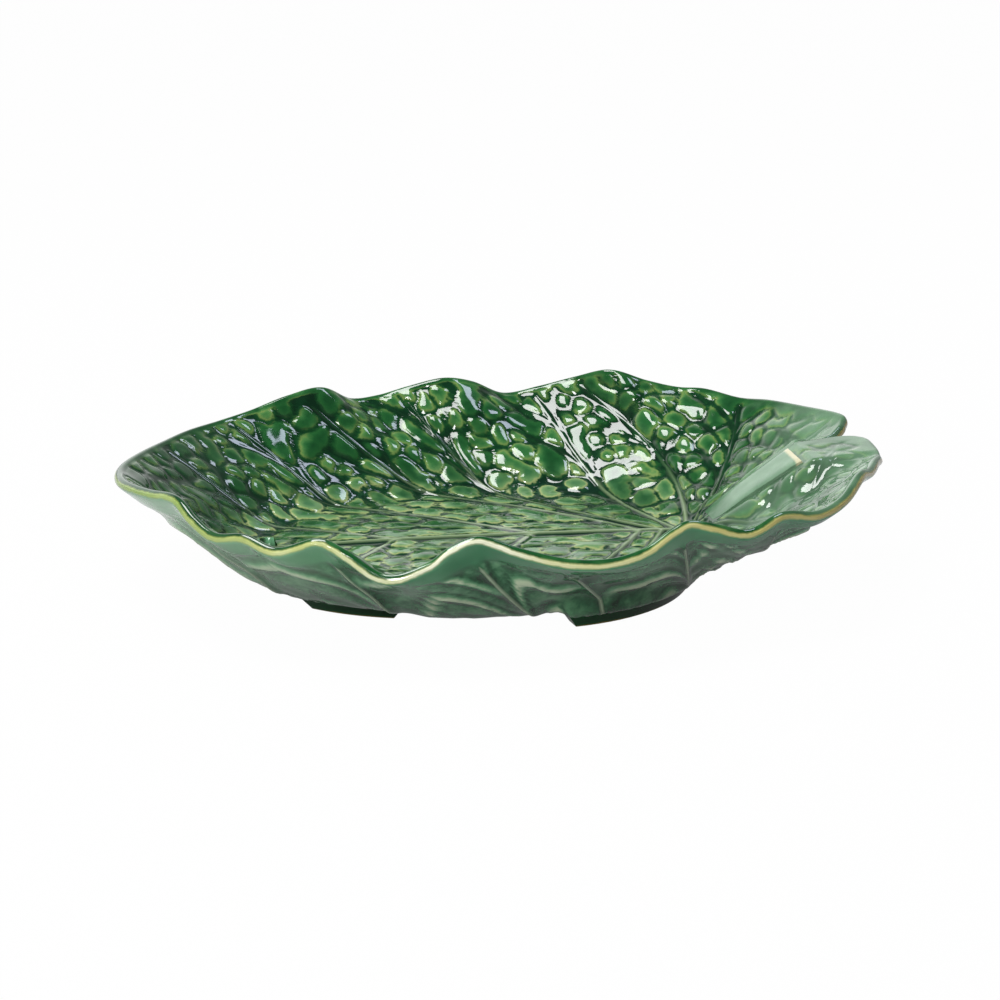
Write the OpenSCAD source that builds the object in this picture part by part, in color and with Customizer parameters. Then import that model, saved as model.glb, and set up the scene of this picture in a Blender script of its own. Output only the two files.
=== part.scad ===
// A cabbage-leaf platter: one pressed leaf dish with veins, puffed panels and a ruffled rim,
// a flat stalk laid on the inside of the wall, and four low foot segments under the belly.
// The origin is on the table under the middle of the leaf. X runs along it, from tip to stalk.

/* [Leaf dish] */
// Length of the leaf, from the tip to the stalk lobes
leaf_length = 318; // [240:1:420]
// Width of the leaf across its ruffles
leaf_width = 260; // [200:1:340]
// Height of the tallest ruffles above the table, without the rounded lip
rim_height = 54; // [44:1:70]
// Thickness of the fired wall
wall_thickness = 4.5; // [3.5:0.1:6]
// Height of the veins over the panels
vein_height = 1.6; // [0.8:0.1:2.4]
// Height by which the panels puff up between the veins
puff_height = 1.4; // [0.4:0.1:2]
// Depth of the hollows between the ribs on the outside
hollow_depth = 1.6; // [0.4:0.1:2]

/* [Stalk] */
// Thickness of the flat stalk
stalk_thickness = 2.6; // [1.8:0.1:4]

/* [Feet] */
// Height of the foot segments under the belly
foot_height = 5; // [3.5:0.5:8]
// Width of a foot segment where it stands
foot_width = 8; // [5:0.5:11]

/* [Hidden] */

half_length = leaf_length / 2;
half_width = leaf_width / 2;
floor_height = foot_height + wall_thickness;
overrun = leaf_length / 100;

// Rim stations, anticlockwise round the leaf from the bottom of the notch, at its crests,
// valleys and the slopes between. Each is [angle, share of half the length, share of the height].
rim_shares = [
    [2.9, 0.82, 0.83], [4.2, 0.84, 0.83], [5.1, 0.885, 0.85], [6.4, 0.95, 0.87], [8.7, 0.99, 0.9],
    [11.4, 1.01, 0.93], [20, 0.99, 0.9], [28, 0.985, 0.87], [34, 0.975, 0.84], [40, 0.95, 0.88],
    [45, 0.935, 0.87], [50, 0.9, 0.92], [56, 0.865, 1], [63, 0.865, 0.92], [70, 0.86, 0.83],
    [77, 0.855, 0.77], [83, 0.82, 0.89], [89, 0.8, 0.94], [96, 0.815, 0.88], [102, 0.83, 0.82],
    [108, 0.835, 0.82], [115, 0.815, 0.96], [122, 0.835, 0.93], [129, 0.875, 0.85], [136, 0.9, 0.82],
    [144, 0.92, 0.82], [152, 0.935, 0.82], [161, 0.955, 0.84], [170, 0.98, 0.87], [177, 0.99, 0.89],
    [184, 0.985, 0.92], [192, 0.965, 0.96], [200, 0.945, 1], [206, 0.95, 0.91], [211, 0.95, 0.85],
    [216, 0.925, 0.87], [222, 0.915, 0.82], [228, 0.875, 0.9], [233, 0.87, 0.84], [240, 0.88, 0.71],
    [246, 0.85, 0.78], [250, 0.82, 0.89], [255, 0.8, 0.95], [262, 0.81, 0.87], [270, 0.83, 0.8],
    [277, 0.84, 0.79], [283, 0.84, 0.84], [288, 0.83, 0.93], [292, 0.835, 0.98], [297, 0.86, 0.93],
    [302, 0.885, 0.87], [309, 0.9, 0.94], [316, 0.935, 0.89], [323, 0.95, 0.92], [331, 0.955, 1],
    [337, 0.965, 0.96], [343, 0.975, 0.95], [350, 0.995, 0.87], [357.5, 0.995, 0.88], [360, 0.98, 0.89],
    [361.3, 0.955, 0.88], [361.75, 0.92, 0.87], [361.8, 0.87, 0.85]
];
// Width of the leaf over its length at which the reaches above are true
natural_width_share = 0.82;
// Keeps a division from zero at the leaf's middle
small_share = 0.001;

// Side veins from the notch to the tip, each [rim station, root along the midrib as a share of
// half the length, sideways bow as a share of its run, height as a share of the full ridge]
far_vein_shares = [
    [0, 0.54, 0, 0], [5, 0.535, 0, 0.5], [8, 0.53, 0.1, 0.8], [13.2, 0.52, 0.3, 1], [14.3, 0.5, 0, 1],
    [18.4, 0.46, -0.04, 1], [21.8, 0.4, 0.13, 1], [23.9, 0.11, 0.08, 1], [26.3, -0.26, 0.12, 1],
    [29, -0.62, 0, 1]
];
near_vein_shares = [
    [63, 0.54, 0, 0], [57.3, 0.535, 0, 0], [53.8, 0.53, 0.05, 0.8], [50.7, 0.52, 0.1, 1],
    [47.3, 0.5, 0.05, 1], [43.8, 0.46, 0.02, 1], [41.3, 0.4, 0.08, 1], [37.1, 0.11, 0.08, 1],
    [33.2, -0.26, 0.08, 1], [29, -0.62, 0, 1]
];
// Columns of the grid across one panel, set close to the vein on either side
column_shares = [0, 0.1, 0.25, 0.42, 0.6, 0.76, 0.9];
panel_columns = len(column_shares);
side_columns = panel_columns * (len(far_vein_shares) - 1);
ring_columns = 2 * side_columns;
rows = 20;
// Rows from one puff to the next
puff_rows = 4;
// Part of a run over which a vein rises from the midrib, and what is left of it at the rim
vein_start_share = 0.12;
vein_rim_share = 0.45;
// Part of a run, at the rim, that stays smooth
smooth_band_share = 0.14;
// Ribs on the outside behind the veins: their height over the veins' and where they start
rib_share = 0.9;
rib_start_share = 0.3;
// Rows from one outside hollow to the next, and how far the fold between them slants on its way
// from a rib to the middle of the panel
hollow_rows = 4;
hollow_slant_share = 0.7;

// The midrib bows to the far side, most of all near the tip
midrib_peak_share = -0.44;
midrib_offset_share = 0.145;
midrib_curve_share = 0.092;

// The outline is a rounded oblong, squarer at the stalk than at the tip
outline_power = 2.2;
outline_squareness = 0.2;
// Where the flat floor ends, as a share of the reach
floor_share = 0.55;
floor_tip_share = 0.08;
floor_side_share = 0.05;
// Part of the wall's run over which the floor turns up, and the wall's mean height
wall_bend = 0.25;
wall_rise_share = 0.89;
ruffle_power = 2.2;

// The stalk lies on a flat slope that climbs the wall to the notch
slope_start_share = 0.52;
slope_end_share = 0.82;
slope_top_share = 0.86;
slope_bend = 0.12;
slope_beyond = 0.1;
slope_blend_shares = [0.47, 0.56];
slope_margin_share = 0.03;
slope_fade_share = 0.1;
// Plan of the stalk: each end's place along the leaf, middle across it and half width
stalk_root_shares = [0.585, 0.05, 0.064];
stalk_end_shares = [0.8, -0.052, 0.084];
stalk_crown_share = 0.7;
stalk_taper_share = 0.4;
stalk_root_thin_share = 0.25;

// Draft of a foot's sides and ends, as a slope
foot_draft = 0.7;
foot_facets = 96;
// Foot segments of the near side: centre of the arc, its outer radius as a share of half the
// width, and the two angles between which it runs
foot_left = [[-0.19, 0.11], 0.6, 221, 253];
foot_right = [[0.03, -0.11], 0.55, 274, 344];
// How far round a foot the belly is level, and the run over which it turns up from there
pad_margin = half_width * 0.012;
pad_fade = half_width * 0.03;

function lerp(a, b, t) = a + (b - a) * t;
function clamp01(t) = max(0, min(1, t));
function smooth(t) = let (s = clamp01(t)) s * s * (3 - 2 * s);
function unit(v) = v / norm(v);
function flat(v) = [v[0], v[1]];

// Rim: a smooth closed curve through the stations
function station(i) =
    let (s = rim_shares[(i + len(rim_shares)) % len(rim_shares)])
    [s[1] * half_length * cos(s[0]),
     s[1] * half_width * sin(s[0]) / natural_width_share,
     s[2] * rim_height];
function rim_point(p) =
    let (i = floor(p), t = p - i, a = station(i - 1), b = station(i), c = station(i + 1), d = station(i + 2))
    b + t / 2 * (c - a + t * (2 * a - 5 * b + 4 * c - d + t * (3 * (b - c) + d - a)));

// Wall: how far a plan point lies up the run from the floor to the rim
function heading(p) = flat(p) / max(norm(flat(p)), half_width * small_share);
function reach(p) =
    let (power = outline_power + outline_squareness * heading(p)[0])
    pow(pow(abs(p[0]) / half_length, power) + pow(abs(p[1]) / half_width, power), 1 / power);
function floor_reach(p) =
    floor_share - floor_tip_share * heading(p)[0] + floor_side_share * abs(heading(p)[1]);
function climb(p) = max(0, (reach(p) - floor_reach(p)) / (1 - floor_reach(p)));
function bent(t, bend) = t < bend ? t * t / (2 * bend) : t - bend / 2;
function wall_z(p) =
    lerp(floor_height, wall_rise_share * rim_height, bent(climb(p), wall_bend) / bent(1, wall_bend));

// Slope under the stalk, level across, and how far a plan point lies off it
function slope_z(x) =
    let (start = slope_start_share * half_length, end = slope_end_share * half_length,
         t = clamp01((x - start) / (end - start)))
    lerp(floor_height, slope_top_share * rim_height, bent(t, slope_bend) / bent(1, slope_bend))
    + slope_beyond * max(0, x - end);
function stalk_share(x) =
    clamp01((x / half_length - stalk_root_shares[0]) / (stalk_end_shares[0] - stalk_root_shares[0]));
function stalk_middle(x) = lerp(stalk_root_shares[1], stalk_end_shares[1], stalk_share(x)) * half_width;
function stalk_half(x) = lerp(stalk_root_shares[2], stalk_end_shares[2], stalk_share(x)) * half_width;
function beside_slope(p) =
    smooth((abs(p[1] - stalk_middle(p[0])) - stalk_half(p[0]) - slope_margin_share * half_width)
           / (slope_fade_share * half_width));
function along_slope(p) =
    smooth((p[0] / half_length - slope_blend_shares[0]) / (slope_blend_shares[1] - slope_blend_shares[0]));
function off_slope(p) = 1 - (1 - beside_slope(p)) * along_slope(p);
function leaf_z(p) = lerp(slope_z(p[0]), wall_z(p), off_slope(p));

// Columns run from the midrib to the rim, beside the side veins. Each is [root, bend, rim point].
function midrib(share) =
    [share * half_length,
     half_width * (midrib_offset_share - midrib_curve_share * pow(share - midrib_peak_share, 2))];
function side_index(c) = let (i = c % ring_columns) min(i, ring_columns - i);
function is_far(c) = c % ring_columns <= side_columns;
function panel_share(i) = i % panel_columns == 0 ? 0 : column_shares[i % panel_columns];
function vein_row(veins, i) =
    let (k = min(floor(i / panel_columns), len(veins) - 2), j = i - k * panel_columns,
         share = j == panel_columns ? 1 : column_shares[j])
    lerp(veins[k], veins[k + 1], share);
function column(c) =
    let (row = vein_row(is_far(c) ? far_vein_shares : near_vein_shares, side_index(c)),
         root = midrib(row[1]), rim = rim_point(row[0]), run = flat(rim) - root, turn = is_far(c) ? 1 : -1)
    [root, root + run / 2 + row[2] * turn * [run[1], -run[0]], rim];
columns = [for (c = [0:ring_columns - 1]) column(c)];

function plan_point(col, v) =
    (1 - v) * (1 - v) * col[0] + 2 * v * (1 - v) * col[1] + v * v * flat(col[2]);
function surface_point(col, v) =
    let (p = plan_point(col, v), rim = col[2], grown = clamp01(climb(p) / max(climb(rim), small_share)))
    [p[0], p[1],
     leaf_z(p) + pow(grown, ruffle_power) * off_slope(p) * off_slope(rim) * (rim[2] - leaf_z(rim))];
grid = [for (col = columns) [for (j = [0:rows]) surface_point(col, j / rows)]];

function at(c, j) = grid[(c + ring_columns) % ring_columns][j];
function normal(c, j) =
    j == 0 ? [0, 0, 1]
           : unit(cross(at(c, min(j + 1, rows)) - at(c, j - 1), at(c + 1, j) - at(c - 1, j)));

// The belly is level over each foot, and further from it goes over into the wall
function off_foot(p, spot, side) =
    let (q = [p[0] - spot[0][0] * half_length, side * p[1] - spot[0][1] * half_width],
         radius = spot[1] * half_width, spread = foot_draft * foot_height,
         across = abs(norm(q) - radius + foot_width / 2) - foot_width / 2 - spread,
         along = max(0, abs((atan2(q[1], q[0]) + 360) % 360 - (spot[2] + spot[3]) / 2)
                        - (spot[3] - spot[2]) / 2) * radius * PI / 180)
    smooth((max(0, across, along) - pad_margin) / pad_fade);
function off_feet(p) =
    min([for (spot = [foot_left, foot_right], side = [1, -1]) off_foot(p, spot, side)]);

// Relief of the inner face: ridges on the vein columns and rows of puffs between them
function vein_relief(c, j) =
    let (i = side_index(c), veins = is_far(c) ? far_vein_shares : near_vein_shares)
    i % panel_columns > 0 ? 0
        : veins[i / panel_columns][3] * vein_height * smooth(j / rows / vein_start_share)
          * lerp(1, vein_rim_share, j / rows);
function puff_relief(c, j) =
    let (i = side_index(c), k = floor(i / panel_columns), phase = (j + puff_rows / 2 * (k % 2)) / puff_rows)
    puff_height * sin(180 * panel_share(i)) * (1 - cos(360 * phase)) / 2
        * smooth((1 - j / rows) / smooth_band_share) * smooth(j / rows / vein_start_share);
function inner_point(c, j) =
    j == 0 ? at(c, 0) + [0, 0, vein_height]
           : at(c, j) + normal(c, j) * (vein_relief(c, j) + puff_relief(c, j)) * off_slope(at(c, j));

// Relief of the outer face: ribs behind the veins, with slanting hollows between them
function outer_fade(c, j) =
    smooth(climb(at(c, j)) / rib_start_share) * smooth((1 - j / rows) / smooth_band_share);
function hollow_relief(c, j) =
    let (i = side_index(c), k = floor(i / panel_columns), share = panel_share(i),
         phase = j / hollow_rows + hollow_slant_share * abs(1 - 2 * share) + k / 2)
    hollow_depth * sqrt(sin(180 * share)) * (1 - cos(360 * phase)) / 2;
function outer_point(c, j) =
    let (relief = (vein_relief(c, j) * rib_share - hollow_relief(c, j)) * outer_fade(c, j),
         q = at(c, j) - (wall_thickness + relief) * normal(c, j))
    [q[0], q[1], lerp(foot_height, max(q[2], foot_height), off_feet(q))];
function lip_point(c) =
    let (middle = (inner_point(c, rows) + outer_point(c, rows)) / 2)
    middle + unit(at(c, rows) - at(c, rows - 1)) * wall_thickness / 2;

// The dish is one closed skin: the inner face, the outer face and the lip between them
face_points = side_columns + 1 + ring_columns * rows;
dish_points = [
    for (i = [0:side_columns]) inner_point(i, 0),
    for (c = [0:ring_columns - 1], j = [1:rows]) inner_point(c, j),
    for (i = [0:side_columns]) outer_point(i, 0),
    for (c = [0:ring_columns - 1], j = [1:rows]) outer_point(c, j),
    for (c = [0:ring_columns - 1]) lip_point(c)
];
function index(c, j) =
    j == 0 ? side_index(c) : side_columns + 1 + c % ring_columns * rows + j - 1;
function lip_index(c) = 2 * face_points + c % ring_columns;
function upward(a, b, c, d) = [[a, b, c], [a, c, d]];
function downward(a, b, c, d) = [[a, c, b], [a, d, c]];
dish_faces = [
    for (c = [0:ring_columns - 1], j = [0:rows - 1])
        each upward(index(c, j), index(c + 1, j), index(c + 1, j + 1), index(c, j + 1)),
    for (c = [0:ring_columns - 1], j = [0:rows - 1])
        each downward(face_points + index(c, j), face_points + index(c + 1, j),
                      face_points + index(c + 1, j + 1), face_points + index(c, j + 1)),
    for (c = [0:ring_columns - 1])
        each upward(index(c, rows), index(c + 1, rows), lip_index(c + 1), lip_index(c)),
    for (c = [0:ring_columns - 1])
        each downward(face_points + index(c, rows), face_points + index(c + 1, rows),
                      lip_index(c + 1), lip_index(c))
];

// The part stands with the middle of the dish over the origin
dish_xs = [for (p = dish_points) p[0]];
dish_ys = [for (p = dish_points) p[1]];
centre = [(min(dish_xs) + max(dish_xs)) / 2, (min(dish_ys) + max(dish_ys)) / 2];

module centred() {
    translate([-centre[0], -centre[1], 0]) children();
}

module leaf_dish() {
    color("darkgreen")
        centred()
        polyhedron(points = dish_points, faces = dish_faces, convexity = 8);
}

// Stalk: a flat strap with bevelled edges, drawn in the plane of the slope
slope_run = (slope_end_share - slope_start_share) * half_length;
slope_rise = (slope_top_share * rim_height - floor_height) / bent(1, slope_bend);
slope_angle = atan(slope_rise / slope_run);
stalk_foot = [stalk_root_shares[0] * half_length, 0, slope_z(stalk_root_shares[0] * half_length)];
stalk_run = (stalk_end_shares[0] - stalk_root_shares[0]) * half_length / cos(slope_angle);

module stalk_outline(inset) {
    root_middle = stalk_root_shares[1] * half_width;
    end_middle = stalk_end_shares[1] * half_width;
    root_half = stalk_root_shares[2] * half_width - inset;
    end_half = stalk_end_shares[2] * half_width - inset;
    polygon([
        [inset, root_middle - root_half],
        [stalk_run - inset, end_middle - end_half],
        [stalk_run - inset, end_middle + end_half],
        [inset, root_middle + root_half]
    ]);
}

module stalk() {
    color("darkseagreen")
        centred()
        translate(stalk_foot)
        rotate([0, -slope_angle, 0])
        intersection() {
            union() {
                linear_extrude(height = stalk_thickness * stalk_crown_share) stalk_outline(0);
                linear_extrude(height = stalk_thickness)
                    stalk_outline(stalk_thickness * (1 - stalk_crown_share));
            }
            stalk_side();
        }
}

// Side of the stalk, thinner where it runs out on the floor
module stalk_side() {
    rotate([90, 0, 0])
        linear_extrude(height = leaf_width, center = true)
        polygon([
            [0, 0],
            [stalk_run, 0],
            [stalk_run, stalk_thickness],
            [stalk_run * stalk_taper_share, stalk_thickness],
            [0, stalk_thickness * stalk_root_thin_share]
        ]);
}

// Foot: an arc of a ring with drafted sides and ends
module foot(spot, side) {
    radius = spot[1] * half_width;
    spread = foot_draft * foot_height;
    centred()
        translate([spot[0][0] * half_length, side * spot[0][1] * half_width, 0])
        mirror([0, side > 0 ? 0 : 1, 0])
        rotate([0, 0, spot[2]])
        difference() {
            rotate_extrude(angle = spot[3] - spot[2], $fn = foot_facets)
                polygon([
                    [radius - foot_width, 0],
                    [radius, 0],
                    [radius + spread, foot_height],
                    [radius - foot_width - spread, foot_height]
                ]);
            foot_end_cut(radius);
            rotate([0, 0, spot[3] - spot[2]]) mirror([0, 1, 0]) foot_end_cut(radius);
        }
}

// Wedge that slants one end of a foot
module foot_end_cut(radius) {
    reach = foot_width + 2 * foot_draft * foot_height + overrun;
    translate([radius - reach, 0, 0])
        rotate([90, 0, 90])
        linear_extrude(height = 2 * reach)
        polygon([
            [-foot_draft * overrun, foot_height + overrun],
            [foot_draft * (foot_height + overrun), -overrun],
            [-reach, -overrun],
            [-reach, foot_height + overrun]
        ]);
}

module foot_front_left() {
    color("darkslategray") foot(foot_left, 1);
}

module foot_front_right() {
    color("darkslategray") foot(foot_right, 1);
}

module foot_back_right() {
    color("darkslategray") foot(foot_right, -1);
}

module foot_back_left() {
    color("darkslategray") foot(foot_left, -1);
}

leaf_dish();
stalk();
foot_front_left();
foot_front_right();
foot_back_right();
foot_back_left();
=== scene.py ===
# A cabbage-leaf platter in green glazed earthenware, 32 cm long: the ruffled leaf dish with its
# veins and puffed panels, the flat stalk inside one end, and four low foot segments below.
import math

import bpy
import numpy as np
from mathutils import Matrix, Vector, noise
from mathutils.kdtree import KDTree


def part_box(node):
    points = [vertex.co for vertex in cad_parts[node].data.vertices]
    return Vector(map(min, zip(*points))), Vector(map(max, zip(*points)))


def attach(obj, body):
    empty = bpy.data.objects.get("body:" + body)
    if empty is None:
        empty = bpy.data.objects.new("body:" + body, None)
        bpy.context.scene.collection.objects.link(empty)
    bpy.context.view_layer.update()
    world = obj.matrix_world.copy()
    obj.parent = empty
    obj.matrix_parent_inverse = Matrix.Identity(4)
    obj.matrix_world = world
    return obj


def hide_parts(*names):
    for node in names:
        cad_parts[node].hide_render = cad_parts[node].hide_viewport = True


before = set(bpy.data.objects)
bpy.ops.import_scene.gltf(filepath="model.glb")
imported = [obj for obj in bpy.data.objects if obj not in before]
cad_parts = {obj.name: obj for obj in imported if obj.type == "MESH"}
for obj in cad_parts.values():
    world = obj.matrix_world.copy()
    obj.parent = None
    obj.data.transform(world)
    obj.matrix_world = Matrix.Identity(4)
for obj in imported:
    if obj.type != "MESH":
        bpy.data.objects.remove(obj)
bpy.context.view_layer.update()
bpy.ops.object.select_all(action="DESELECT")


# Leaf dish

# The platter's body is one sheet of pale earthenware, pressed over a mould of a real cabbage leaf.
# Its inner face took the veins and puffed panels, its outer face ribs and folds, and the ruffled
# rim was rounded by hand. It is rebuilt from the sizes of its solid, with the relief of both faces.
LEAF_LENGTH = 0.318
LEAF_WIDTH = 0.260
RIM_HEIGHT = 0.054
WALL_THICKNESS = 0.0045
FOOT_HEIGHT = 0.005
FOOT_WIDTH = 0.008
HALF_LENGTH = LEAF_LENGTH / 2
HALF_WIDTH = LEAF_WIDTH / 2
FLOOR_HEIGHT = FOOT_HEIGHT + WALL_THICKNESS

# Rim stations, anticlockwise from the bottom of the notch: angle, share of half the length,
# share of the rim's height
RIM_SHARES = np.array([
    [2.9, 0.82, 0.83], [4.2, 0.84, 0.83], [5.1, 0.885, 0.85], [6.4, 0.95, 0.87], [8.7, 0.99, 0.9],
    [11.4, 1.01, 0.93], [20, 0.99, 0.9], [28, 0.985, 0.87], [34, 0.975, 0.84], [40, 0.95, 0.88],
    [45, 0.935, 0.87], [50, 0.9, 0.92], [56, 0.865, 1], [63, 0.865, 0.92], [70, 0.86, 0.83],
    [77, 0.855, 0.77], [83, 0.82, 0.89], [89, 0.8, 0.94], [96, 0.815, 0.88], [102, 0.83, 0.82],
    [108, 0.835, 0.82], [115, 0.815, 0.96], [122, 0.835, 0.93], [129, 0.875, 0.85], [136, 0.9, 0.82],
    [144, 0.92, 0.82], [152, 0.935, 0.82], [161, 0.955, 0.84], [170, 0.98, 0.87], [177, 0.99, 0.89],
    [184, 0.985, 0.92], [192, 0.965, 0.96], [200, 0.945, 1], [206, 0.95, 0.91], [211, 0.95, 0.85],
    [216, 0.925, 0.87], [222, 0.915, 0.82], [228, 0.875, 0.9], [233, 0.87, 0.84], [240, 0.88, 0.71],
    [246, 0.85, 0.78], [250, 0.82, 0.89], [255, 0.8, 0.95], [262, 0.81, 0.87], [270, 0.83, 0.8],
    [277, 0.84, 0.79], [283, 0.84, 0.84], [288, 0.83, 0.93], [292, 0.835, 0.98], [297, 0.86, 0.93],
    [302, 0.885, 0.87], [309, 0.9, 0.94], [316, 0.935, 0.89], [323, 0.95, 0.92], [331, 0.955, 1],
    [337, 0.965, 0.96], [343, 0.975, 0.95], [350, 0.995, 0.91], [357.5, 0.995, 0.91], [360, 0.98, 0.89],
    [361.3, 0.955, 0.88], [361.75, 0.92, 0.87], [361.8, 0.87, 0.85],
])
NATURAL_WIDTH_SHARE = 0.82
# Side veins from the notch to the tip: rim station, root along the midrib, bow, ridge height
FAR_VEINS = np.array([
    [0, 0.54, 0, 0], [5, 0.535, 0, 0.5], [8, 0.53, 0.1, 0.8], [13.2, 0.52, 0.3, 1], [14.3, 0.5, 0, 1],
    [18.4, 0.46, -0.04, 1], [21.8, 0.4, 0.13, 1], [23.9, 0.11, 0.08, 1], [26.3, -0.26, 0.12, 1],
    [29, -0.62, 0, 1],
])
NEAR_VEINS = np.array([
    [63, 0.54, 0, 0], [57.3, 0.535, 0, 0], [53.8, 0.53, 0.05, 0.8], [50.7, 0.52, 0.1, 1],
    [47.3, 0.5, 0.05, 1], [43.8, 0.46, 0.02, 1], [41.3, 0.4, 0.08, 1], [37.1, 0.11, 0.08, 1],
    [33.2, -0.26, 0.08, 1], [29, -0.62, 0, 1],
])


def clamp01(t):
    return np.clip(t, 0, 1)


def ease(t):
    t = clamp01(t)
    return t * t * (3 - 2 * t)


def bent(t, bend):
    return np.where(t < bend, t * t / (2 * bend), t - bend / 2)


def lengths(v):
    return np.sqrt((v * v).sum(axis=-1))


def unit(v):
    return v / np.maximum(lengths(v), 1e-9)[..., None]


station_angles = np.radians(RIM_SHARES[:, 0])
STATIONS = np.stack([
    RIM_SHARES[:, 1] * HALF_LENGTH * np.cos(station_angles),
    RIM_SHARES[:, 1] * HALF_WIDTH * np.sin(station_angles) / NATURAL_WIDTH_SHARE,
    RIM_SHARES[:, 2] * RIM_HEIGHT,
], axis=1)


def rim_point(place):
    # The rim runs through its stations as one smooth closed curve
    i = np.floor(place).astype(int)
    t = (place - i)[:, None]
    a, b, c, d = (STATIONS[(i + k) % len(STATIONS)] for k in (-1, 0, 1, 2))
    return b + t / 2 * (c - a + t * (2 * a - 5 * b + 4 * c - d + t * (3 * (b - c) + d - a)))


# The leaf's form: a level floor, a wall that climbs from it, and a straight slope for the stalk
FLOOR_REACH = 0.55
OUTLINE_POWER = 2.2
WALL_TOP_SHARE = 0.89
WALL_BEND = 0.25
SLOPE_START_SHARE = 0.52
SLOPE_RUN_SHARE = 0.3
SLOPE_END_SHARE = 0.82
SLOPE_TOP_SHARE = 0.86
SLOPE_BEND = 0.12
SLOPE_MARGIN = 0.03 * HALF_WIDTH
SLOPE_BLEND = 0.1 * HALF_WIDTH


def heading(p):
    return p[..., :2] / np.maximum(lengths(p[..., :2]), HALF_WIDTH / 1000)[..., None]


def reach(p):
    power = OUTLINE_POWER + 0.2 * heading(p)[..., 0]
    lengthways = np.abs(p[..., 0]) / HALF_LENGTH
    widthways = np.abs(p[..., 1]) / HALF_WIDTH
    return (lengthways ** power + widthways ** power) ** (1 / power)


def climb(p):
    floor_reach = FLOOR_REACH - 0.08 * heading(p)[..., 0] + 0.05 * np.abs(heading(p)[..., 1])
    return np.maximum(0, (reach(p) - floor_reach) / (1 - floor_reach))


def wall_z(p):
    rise = bent(climb(p), WALL_BEND) / bent(1, WALL_BEND)
    return FLOOR_HEIGHT + (WALL_TOP_SHARE * RIM_HEIGHT - FLOOR_HEIGHT) * rise


def slope_z(x):
    t = clamp01((x / HALF_LENGTH - SLOPE_START_SHARE) / SLOPE_RUN_SHARE)
    rise = bent(t, SLOPE_BEND) / bent(1, SLOPE_BEND)
    past_top = np.maximum(0, x - SLOPE_END_SHARE * HALF_LENGTH)
    return FLOOR_HEIGHT + (SLOPE_TOP_SHARE * RIM_HEIGHT - FLOOR_HEIGHT) * rise + 0.1 * past_top


# Plan of the stalk: its start and end along the leaf, then its middle and half width at each
STALK_START, STALK_END = 0.585 * HALF_LENGTH, 0.8 * HALF_LENGTH
STALK_MIDDLES = 0.05 * HALF_WIDTH, -0.052 * HALF_WIDTH
STALK_HALVES = 0.064 * HALF_WIDTH, 0.084 * HALF_WIDTH


def beside_stalk(p):
    share = clamp01((p[..., 0] - STALK_START) / (STALK_END - STALK_START))
    middle = STALK_MIDDLES[0] + (STALK_MIDDLES[1] - STALK_MIDDLES[0]) * share
    half = STALK_HALVES[0] + (STALK_HALVES[1] - STALK_HALVES[0]) * share
    return np.abs(p[..., 1] - middle) - half


def off_slope(p):
    beside = ease((beside_stalk(p) - SLOPE_MARGIN) / SLOPE_BLEND)
    return 1 - (1 - beside) * ease((p[..., 0] / HALF_LENGTH - 0.47) / 0.09)


def leaf_z(p):
    return slope_z(p[..., 0]) + (wall_z(p) - slope_z(p[..., 0])) * off_slope(p)


def midrib(share):
    return np.stack([share * HALF_LENGTH, HALF_WIDTH * (0.145 - 0.092 * (share + 0.44) ** 2)], axis=-1)


# Columns run from the midrib to the rim. A panel between two veins has as many as its rim is
# long, and they crowd towards the veins, where the relief is finest.
COLUMN_SPACING = 0.00135
CROWDING = 0.35
panel_counts = []
for k in range(len(FAR_VEINS) - 1):
    widths = []
    for veins in (FAR_VEINS, NEAR_VEINS):
        panel_rim = rim_point(np.linspace(veins[k, 0], veins[k + 1, 0], 40))
        widths.append(lengths(np.diff(panel_rim, axis=0)).sum())
    panel_counts.append(4 * math.ceil(sum(widths) / 2 / COLUMN_SPACING / 4))


def panel_shares(count):
    share = np.arange(count) / count
    return share - CROWDING * np.sin(2 * math.pi * share) / (2 * math.pi)


def side_rows(veins):
    return np.concatenate([
        veins[k] + (veins[k + 1] - veins[k]) * panel_shares(count)[:, None]
        for k, count in enumerate(panel_counts)])


side_columns = sum(panel_counts)
ring_columns = 2 * side_columns
side_index = np.minimum(np.arange(ring_columns), ring_columns - np.arange(ring_columns))
panel_share = np.concatenate([panel_shares(count) for count in panel_counts] + [[0]])[side_index]
panel_index = np.append(np.repeat(np.arange(len(panel_counts)), panel_counts), 0)[side_index]
column_rows = np.concatenate([
    side_rows(FAR_VEINS), FAR_VEINS[-1:], side_rows(NEAR_VEINS)[:0:-1]])
turn = np.where(np.arange(ring_columns) <= side_columns, 1, -1)
column_root = midrib(column_rows[:, 1])
column_rim = rim_point(column_rows[:, 0])
run = column_rim[:, :2] - column_root
across_run = np.stack([run[:, 1], -run[:, 0]], axis=1)
column_bend = column_root + run / 2 + (column_rows[:, 2] * turn)[:, None] * across_run
ridge_heights = {}
start = 0
for k, count in enumerate(panel_counts):
    ridge_heights[start] = FAR_VEINS[k, 3]
    ridge_heights[(ring_columns - start) % ring_columns] = NEAR_VEINS[k, 3]
    start += count
ridge_heights[side_columns] = 1


def leaf_surface(v):
    v = v[None, :, None]
    root, bend, rim = column_root[:, None], column_bend[:, None], column_rim[:, None]
    p = (1 - v) ** 2 * root + 2 * v * (1 - v) * bend + v ** 2 * rim[..., :2]
    grown = clamp01(climb(p) / np.maximum(climb(rim), 0.01))
    lift = grown ** 2.2 * off_slope(p) * off_slope(rim) * (rim[..., 2] - leaf_z(rim))
    return np.concatenate([p, (leaf_z(p) + lift)[..., None]], axis=-1)


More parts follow.
